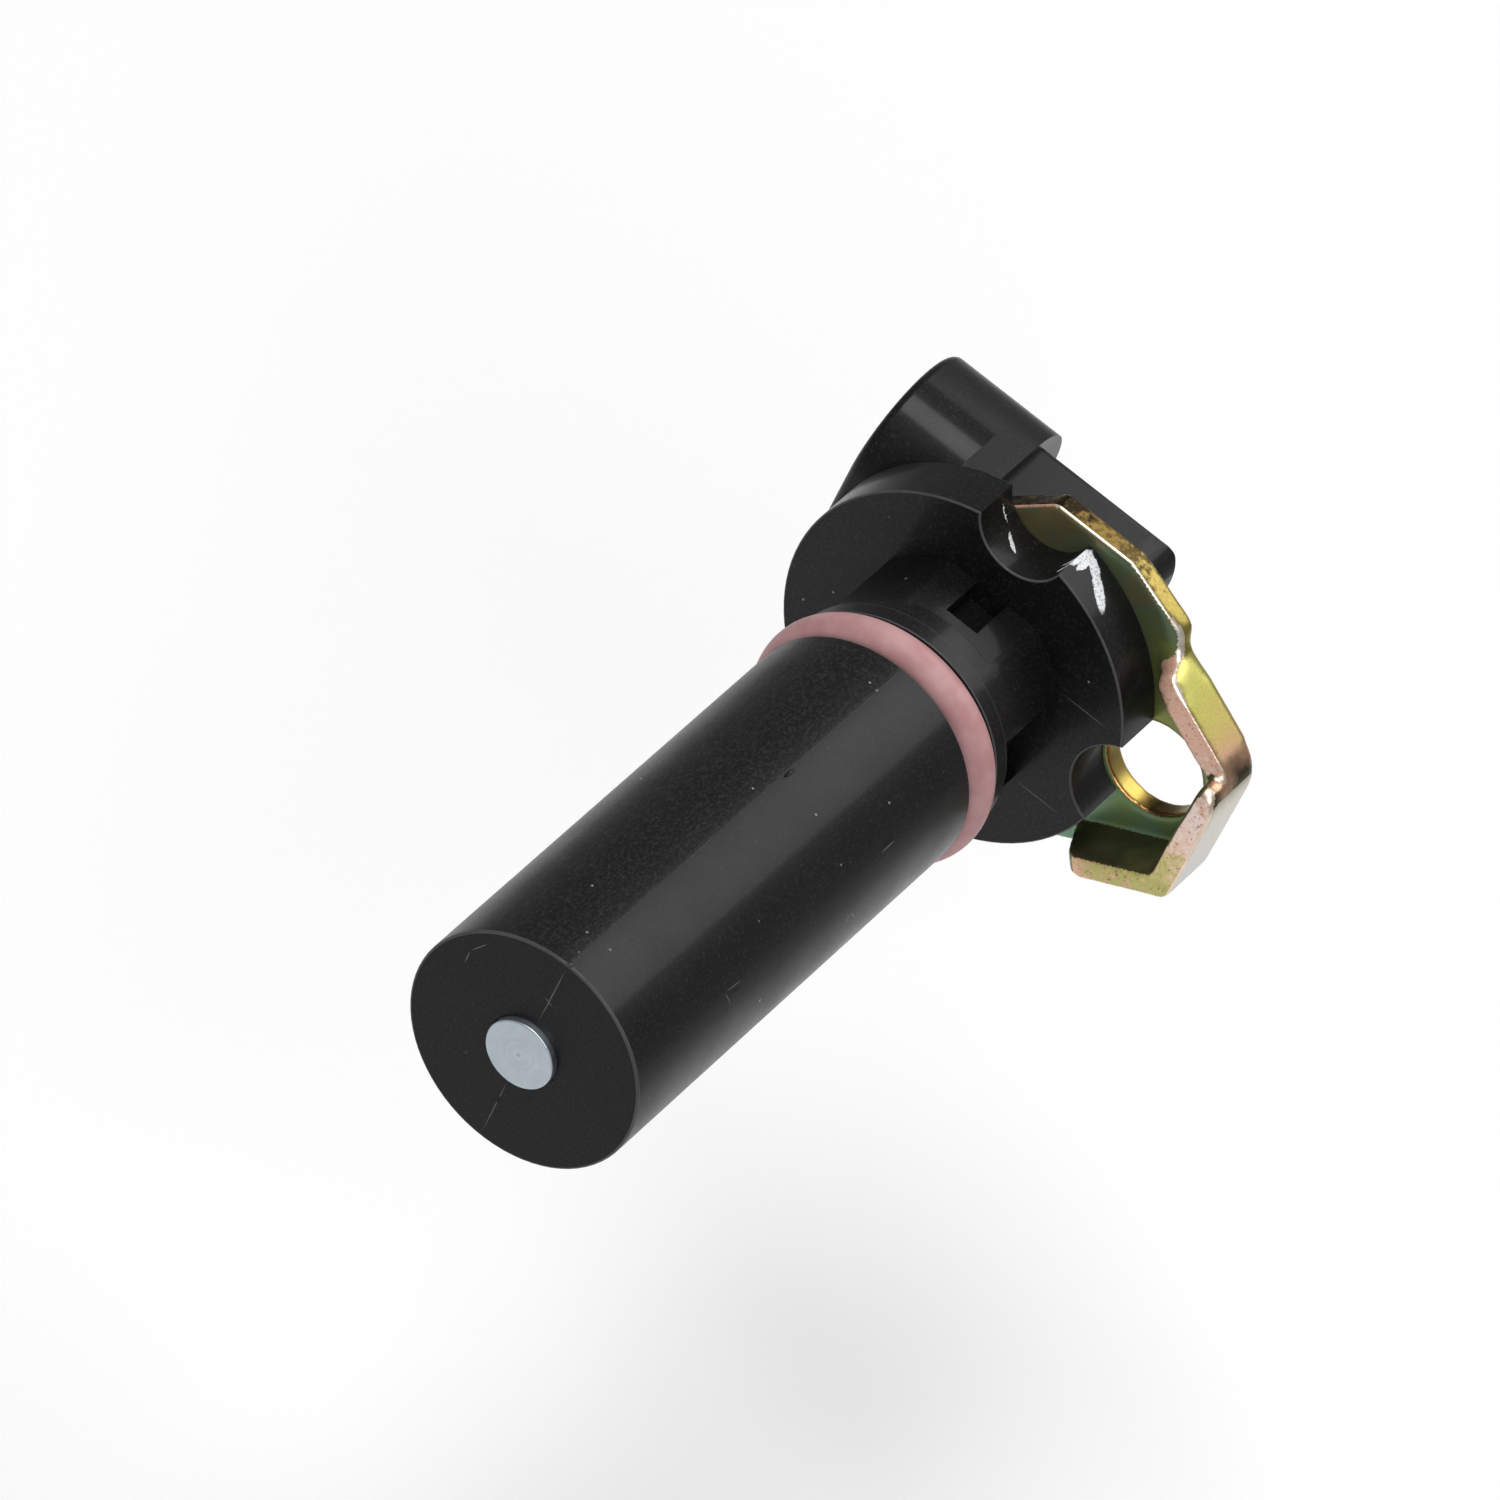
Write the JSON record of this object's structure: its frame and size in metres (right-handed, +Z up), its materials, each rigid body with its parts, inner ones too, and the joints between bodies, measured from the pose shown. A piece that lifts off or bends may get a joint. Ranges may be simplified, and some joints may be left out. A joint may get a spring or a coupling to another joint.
{
  "type": "crankshaft_position_sensor",
  "caption": "Crankshaft position sensor: black overmoulded barrel with a pink seal ring, notched flange, oval plug socket and a yellow-passivated steel bracket",
  "frame": {"origin": "centre of the sensing face, on the barrel's axis", "axes": "+Y along the barrel from the sensing face to the head, +X to the bolt ear (the connector opens towards -X), +Z up, the side with the parting line that the picture shows"},
  "size_m": [0.0383, 0.0792, 0.0306],
  "materials": {
    "black_nylon": "glass-filled, satin, lightly marked by the mould",
    "passivated_steel": "yellow-passivated zinc plate, slightly iridescent, bare pink sheared edges",
    "seal_rubber": "smooth moulded, satin",
    "pole_iron": "ground end face",
    "magnet_alloy": "as cast and ground",
    "bobbin_nylon": "natural moulded",
    "copper_wire": "enamelled copper wire",
    "tinned_brass": "tin plated, satin"
  },
  "bodies": {
    "root": {"sensor_housing": "black_nylon", "mounting_bracket": "passivated_steel", "o_ring": "seal_rubber", "pole_piece": "pole_iron", "permanent_magnet": "magnet_alloy", "coil_bobbin": "bobbin_nylon", "coil_winding": "copper_wire", "terminal_upper": "tinned_brass", "terminal_lower": "tinned_brass"}
  },
  "joints": []
}
